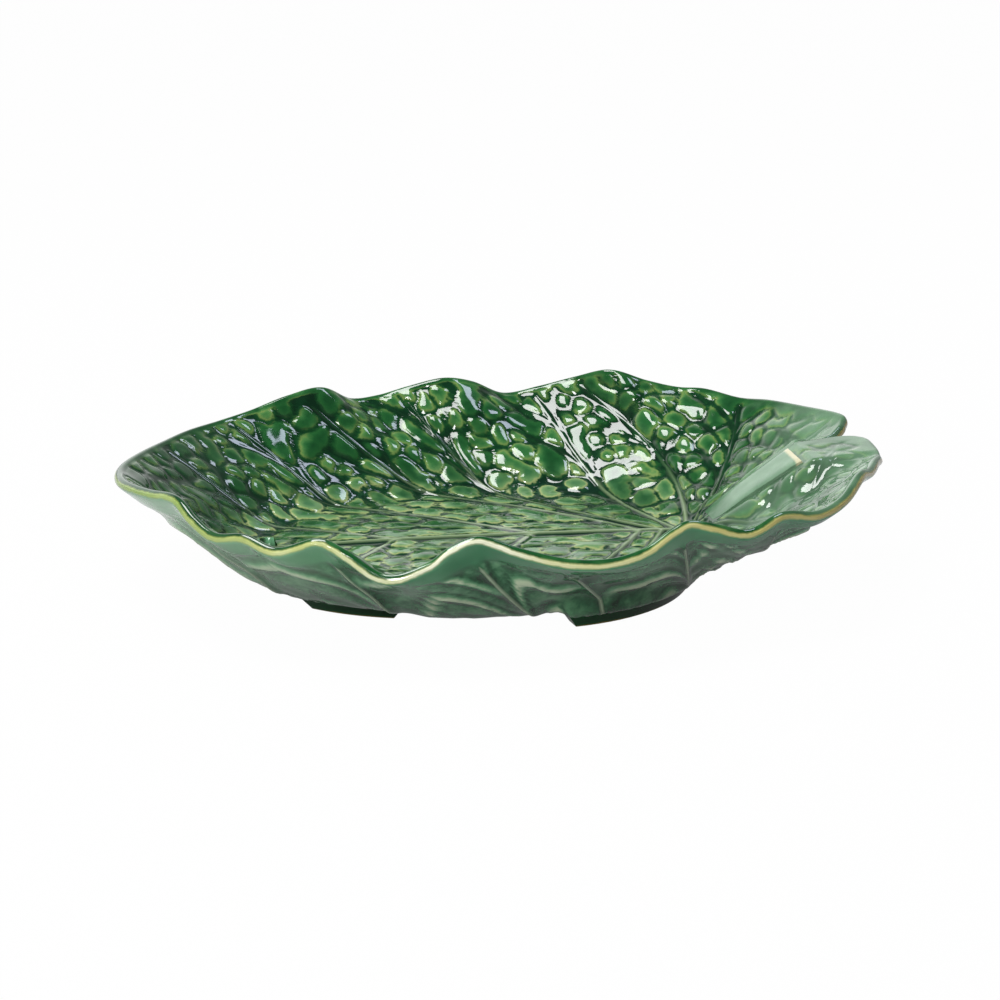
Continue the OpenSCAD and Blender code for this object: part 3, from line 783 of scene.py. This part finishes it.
crest_colour_and_highlight = add_node(tree, "ValToRGB", {"stops": [
    (0, "#86a252"), (0.2, "#c3cb84"), (0.34, "#f0f1d6"),
    (0.5, "#dcdda8"), (0.72, "#cbc47a"), (1, "#a3925c")]}, [crest_length])["Color"]
olive_share = add_node(tree, "Math", {"operation": "MULTIPLY"}, [edge_share, 0.6])["Value"]
crest = add_node(tree, "Mix", {"data_type": "RGBA"}, {
    "Factor": olive_share, "A": crest_colour_and_highlight, "B": linear("#8f9a4e")})["Result"]
skin = add_node(tree, "Mix", {"data_type": "RGBA"}, {"Factor": crest_share, "A": skin, "B": crest})["Result"]

# The glass surface ripples a little, and rounds each puff's shoulder
ripple = add_node(tree, "TexNoise", inputs={"Vector": place, "Scale": RIPPLE_SCALE, "Detail": 1})["Fac"]
ripple_normal = add_node(tree, "Bump", inputs={
    "Strength": 0.07, "Distance": 0.0004, "Height": ripple})["Normal"]
puff_edge = add_node(tree, "MapRange", inputs=[marks["pad_gap"], -0.0004, 0.0012])["Result"]
within = add_node(tree, "Math", {"operation": "SUBTRACT"}, [1.0, marks["outside"]])["Value"]
shoulder = add_node(tree, "Math", {"operation": "MULTIPLY"}, [puff_edge, within])["Value"]
glaze_normal = add_node(tree, "Bump", inputs={
    "Strength": 0.35, "Distance": 0.0005, "Height": shoulder, "Normal": ripple_normal})["Normal"]
shader = add_node(tree, "BsdfPrincipled", inputs={
    "Base Color": skin, "Roughness": 0.07, "IOR": GLAZE_IOR, "Normal": glaze_normal})["BSDF"]
add_node(tree, "OutputMaterial", inputs={"Surface": shader})
leaf_mesh.materials.append(glaze)
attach(leaf, "root")
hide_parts("leaf_dish")


# Stalk

# The cut stalk of the cabbage leaf: a flat strap of the same clay, laid on the inside of the
# wall below the notch and luted down, with a squared end that stands a little proud.
STALK_PROUD = 0.0019
STALK_SINK = 0.0012
STALK_CORNER = 0.0005
slope_run = SLOPE_RUN_SHARE * HALF_LENGTH
slope_rise = (SLOPE_TOP_SHARE * RIM_HEIGHT - FLOOR_HEIGHT) / bent(1, SLOPE_BEND)
slope_angle = math.atan(slope_rise / slope_run)
strap_run = (STALK_END - STALK_START) / math.cos(slope_angle)
strap_foot = float(slope_z(np.float64(STALK_START)))

# A block is cut across into short lengths, tapered to the strap's plan, thinned to nothing
# where it runs out on the floor, and hollowed a little along its middle
bpy.ops.mesh.primitive_cube_add(size=1, location=(0.5, 0, 0.5))
stalk = bpy.context.active_object
stalk.name = "stalk_strap"
bpy.ops.object.transform_apply(location=True, rotation=True, scale=True)
bpy.ops.object.mode_set(mode="EDIT")
bpy.ops.mesh.select_all(action="SELECT")
bpy.ops.mesh.subdivide(number_cuts=11)
bpy.ops.object.mode_set(mode="OBJECT")
for vertex in stalk.data.vertices:
    along, across, up = vertex.co.x, vertex.co.y * 2, vertex.co.z
    middle = STALK_MIDDLES[0] + (STALK_MIDDLES[1] - STALK_MIDDLES[0]) * along
    half = STALK_HALVES[0] + (STALK_HALVES[1] - STALK_HALVES[0]) * along
    half *= 1 - 0.2 * max(0, 1 - along / 0.08) ** 2
    thick = STALK_PROUD * (0.04 + 0.96 * float(ease(along / 0.4)))
    rounded = (1 - abs(across) ** 5 * 0.45) * (1 - max(0, along - 0.93) ** 2 * 40)
    dished = 1 - 0.16 * math.cos(across * math.pi / 2) * float(ease((along - 0.1) / 0.5))
    x = along * strap_run
    z = up * (thick * rounded * dished) - STALK_SINK * (1 - up)
    vertex.co = (
        STALK_START + shift[0] + x * math.cos(slope_angle) - z * math.sin(slope_angle),
        middle + across * half * (1 - 0.06 * up) + shift[1],
        strap_foot + x * math.sin(slope_angle) + z * math.cos(slope_angle))
bpy.ops.object.modifier_add(type="BEVEL")
stalk.modifiers[-1].width, stalk.modifiers[-1].segments = STALK_CORNER, 3
stalk.modifiers[-1].limit_method, stalk.modifiers[-1].angle_limit = "ANGLE", math.radians(50)
bpy.ops.object.modifier_apply(modifier=stalk.modifiers[-1].name)
bpy.ops.object.modifier_add(type="SUBSURF")
stalk.modifiers[-1].levels = stalk.modifiers[-1].render_levels = 1
bpy.ops.object.modifier_apply(modifier=stalk.modifiers[-1].name)
bpy.ops.object.shade_smooth()

# Thin glaze on the clay strap: pale grey-green, darker at its root, with bare clay at the cut end.
# It gives soft, slightly blurred reflections.
STALK_FLOW_SCALE = 120  # runs in a metre, so one every 8 mm
stalk_glaze = bpy.data.materials.new("thin_green_glaze_on_earthenware")
stalk_glaze.use_nodes = True
tree = stalk_glaze.node_tree
tree.nodes.clear()
place = add_node(tree, "TexCoord")["Object"]
flow = add_node(tree, "TexNoise", inputs={"Vector": place, "Scale": STALK_FLOW_SCALE, "Detail": 4})["Fac"]
strap_tone = add_node(tree, "ValToRGB", {"stops": [(0.3, "#64866a"), (0.7, "#7a9a7e")]}, [flow])["Color"]
lengthways = add_node(tree, "SeparateXYZ", inputs={"Vector": place})["X"]
past_root = add_node(tree, "MapRange", inputs=[
    lengthways, STALK_START + 0.001, STALK_START + 0.009])["Result"]
strap_tone = add_node(tree, "Mix", {"data_type": "RGBA"}, {
    "Factor": past_root, "A": linear("#3f6b47"), "B": strap_tone})["Result"]
at_end = add_node(tree, "MapRange", {"interpolation_type": "SMOOTHSTEP"}, [
    lengthways, STALK_END + shift[0] - 0.003, STALK_END + shift[0] - 0.0018])["Result"]
strap_colour = add_node(tree, "Mix", {"data_type": "RGBA"}, {
    "Factor": at_end, "A": strap_tone, "B": linear("#c9c4a2")})["Result"]
ripple = add_node(tree, "TexNoise", inputs={"Vector": place, "Scale": RIPPLE_SCALE, "Detail": 2})["Fac"]
ripple_normal = add_node(tree, "Bump", inputs={
    "Strength": 0.15, "Distance": 0.0004, "Height": ripple})["Normal"]
shader = add_node(tree, "BsdfPrincipled", inputs={
    "Base Color": strap_colour, "Roughness": 0.12, "IOR": GLAZE_IOR, "Normal": ripple_normal})["BSDF"]
add_node(tree, "OutputMaterial", inputs={"Surface": shader})
stalk.data.materials.append(stalk_glaze)
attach(stalk, "root")
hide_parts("stalk")


# Feet

# Four segments of a low ring of the same clay, made separately and luted under the belly. Their
# glaze is thick and nearly black, and is wiped off in a thin line where they stand.
FOOT_SINK = 0.0008
FOOT_CORNER = 0.0009
FOOT_FLOW_SCALE = 90  # runs in a metre, so one every 11 mm
foot_glaze = bpy.data.materials.new("dark_green_glaze")
foot_glaze.use_nodes = True
tree = foot_glaze.node_tree
tree.nodes.clear()
place = add_node(tree, "TexCoord")["Object"]
height = add_node(tree, "SeparateXYZ", inputs={"Vector": place})["Z"]
flow = add_node(tree, "TexNoise", inputs={"Vector": place, "Scale": FOOT_FLOW_SCALE, "Detail": 3})["Fac"]
wavering = add_node(tree, "MapRange", inputs=[flow, 0.3, 0.7, -0.0003, 0.0003])["Result"]
wiped_height = add_node(tree, "Math", {"operation": "ADD"}, [height, wavering])["Value"]
above_table = add_node(tree, "MapRange", inputs=[wiped_height, 0.0, 0.002])["Result"]
foot_colour = add_node(tree, "ValToRGB", {"stops": [
    (0.0, "#b09a5c"), (0.22, "#857c3c"), (0.42, "#175029"), (1, "#134423")]}, [above_table])["Color"]
shader = add_node(tree, "BsdfPrincipled", inputs={
    "Base Color": foot_colour, "Roughness": 0.1, "IOR": GLAZE_IOR, "Specular IOR Level": 0.12})["BSDF"]
add_node(tree, "OutputMaterial", inputs={"Surface": shader})

# Each segment is a block cut into short lengths and bent round its arc, wider at the belly than
# at the table, with its corners rounded and its top sunk into the belly
for name, spot, side in (
        ("foot_front_left", 0, 1), ("foot_front_right", 1, 1),
        ("foot_back_right", 1, -1), ("foot_back_left", 0, -1)):
    centre, radius_share, first, last = FOOT_SPOTS[spot]
    radius = radius_share * HALF_WIDTH
    bpy.ops.mesh.primitive_cube_add(size=1, location=(0.5, -0.5, 0.5))
    foot = bpy.context.active_object
    foot.name = name + "_segment"
    bpy.ops.object.transform_apply(location=True, rotation=True, scale=True)
    bpy.ops.object.mode_set(mode="EDIT")
    bpy.ops.mesh.select_all(action="SELECT")
    bpy.ops.mesh.subdivide(number_cuts=15)
    bpy.ops.object.mode_set(mode="OBJECT")
    for vertex in foot.data.vertices:
        along, across, z = vertex.co.x, vertex.co.y, vertex.co.z * (FOOT_HEIGHT + FOOT_SINK)
        spread = FOOT_DRAFT * min(z, FOOT_HEIGHT)
        out = radius + spread + across * (FOOT_WIDTH + 2 * spread)
        end = math.degrees((FOOT_DRAFT * (FOOT_HEIGHT - min(z, FOOT_HEIGHT))) / radius)
        bearing = math.radians(first + end + (last - first - 2 * end) * along)
        vertex.co = (
            centre[0] * HALF_LENGTH + out * math.cos(bearing) + shift[0],
            side * (centre[1] * HALF_WIDTH + out * math.sin(bearing)) + shift[1], z)
    if side < 0:
        bpy.ops.object.mode_set(mode="EDIT")
        bpy.ops.mesh.select_all(action="SELECT")
        bpy.ops.mesh.flip_normals()
        bpy.ops.object.mode_set(mode="OBJECT")
    bpy.ops.object.modifier_add(type="BEVEL")
    foot.modifiers[-1].width, foot.modifiers[-1].segments = FOOT_CORNER, 4
    foot.modifiers[-1].limit_method, foot.modifiers[-1].angle_limit = "ANGLE", math.radians(40)
    bpy.ops.object.modifier_apply(modifier=foot.modifiers[-1].name)
    bpy.ops.object.shade_smooth()
    foot.data.materials.append(foot_glaze)
    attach(foot, "root")
    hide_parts(name)


# Studio

# A white table that runs into a white backdrop. A large softbox hangs overhead on the left, a
# small bluish one on the right, and a narrow strip stands in front on the left. The camera looks
# from a little left of the leaf's middle, low over the table.
table_white = bpy.data.materials.new("white_table")
table_white.use_nodes = True
tree = table_white.node_tree
tree.nodes.clear()
rays = add_node(tree, "LightPath")
matt_white = add_node(tree, "BsdfDiffuse", inputs={"Color": linear("#c4c4c4")})["BSDF"]
plain_white = add_node(tree, "Emission", inputs={"Color": (1, 1, 1, 1), "Strength": 1.0})["Emission"]
seen = add_node(tree, "Math", {"operation": "MULTIPLY"}, [rays["Is Camera Ray"], 0.985])["Value"]
mirrored = add_node(tree, "Math", {"operation": "MULTIPLY"}, [rays["Is Glossy Ray"], 0.15])["Value"]
white_share = add_node(tree, "Math", {"operation": "MAXIMUM"}, [seen, mirrored])["Value"]
table_top = add_node(tree, "MixShader", inputs=[white_share, matt_white, plain_white])["Shader"]
add_node(tree, "OutputMaterial", inputs={"Surface": table_top})
bpy.ops.mesh.primitive_plane_add(size=14, location=(0, 0, 0))
table = bpy.context.active_object
table.name = "table"
table.data.materials.append(table_white)

# The backdrop is bright behind the platter and dim above it, in front of it and at its right
world = bpy.data.worlds.new("studio")
bpy.context.scene.world = world
world.use_nodes = True
tree = world.node_tree
tree.nodes.clear()
rays = add_node(tree, "LightPath")
direction = add_node(tree, "SeparateXYZ", inputs={"Vector": add_node(tree, "TexCoord")["Generated"]})
low_down = add_node(tree, "MapRange", {"interpolation_type": "SMOOTHSTEP"}, [
    direction["Z"], 0.35, 0.75, 1, 0])["Result"]
behind = add_node(tree, "MapRange", {"interpolation_type": "SMOOTHSTEP"}, [
    direction["Y"], 0.1, 0.85, 0.12, 1])["Result"]
off_right = add_node(tree, "MapRange", {"interpolation_type": "SMOOTHSTEP"}, [
    direction["X"], 0.15, 0.55, 1, 0.25])["Result"]
low_behind = add_node(tree, "Math", {"operation": "MULTIPLY"}, [low_down, behind])["Value"]
backdrop = add_node(tree, "Math", {"operation": "MULTIPLY"}, [low_behind, off_right])["Value"]
room = add_node(tree, "MapRange", inputs=[backdrop, 0, 1, 0.1, 1.3])["Result"]
strength = add_node(tree, "Math", {"operation": "MAXIMUM"}, [room, rays["Is Camera Ray"]])["Value"]
light = add_node(tree, "Background", inputs={"Color": (1, 1, 1, 1), "Strength": strength})["Background"]
add_node(tree, "OutputWorld", inputs={"Surface": light})


def softbox(name, place, aim, width, depth, power, colour):
    lamp = bpy.data.lights.new(name, "AREA")
    lamp.shape = "RECTANGLE"
    lamp.size, lamp.size_y = width, depth
    lamp.energy = power
    lamp.color = linear(colour)[:3]
    stand = bpy.data.objects.new(name, lamp)
    stand.location = place
    stand.rotation_euler = (Vector(aim) - Vector(place)).to_track_quat("-Z", "Y").to_euler()
    bpy.context.collection.objects.link(stand)


softbox("overhead_softbox", (-0.34, 0.14, 1.25), (0, 0, 0.03), 0.64, 0.56, 16, "#ffffff")
softbox("right_softbox", (0.62, 0.22, 1.1), (-0.05, 0.05, 0.03), 0.28, 0.34, 3, "#dfe6ff")
softbox("front_strip", (-0.64, -0.95, 0.66), (-0.05, 0, 0.03), 0.2, 0.5, 8, "#ffffff")

CAMERA_DISTANCE = 1.5
camera_data = bpy.data.cameras.new("camera")
camera_data.lens = 128.25
camera_data.sensor_width = 36
camera = bpy.data.objects.new("camera", camera_data)
aim = Vector((0, 0, 0.030))
azimuth, elevation = math.radians(-12), math.radians(16)
away = Vector((
    math.sin(azimuth) * math.cos(elevation), -math.cos(azimuth) * math.cos(elevation), math.sin(elevation)))
camera.location = aim + CAMERA_DISTANCE * away
camera.rotation_euler = (aim - camera.location).to_track_quat("-Z", "Y").to_euler()
bpy.context.collection.objects.link(camera)
bpy.context.scene.camera = camera
bpy.context.scene.view_settings.view_transform = "Standard"
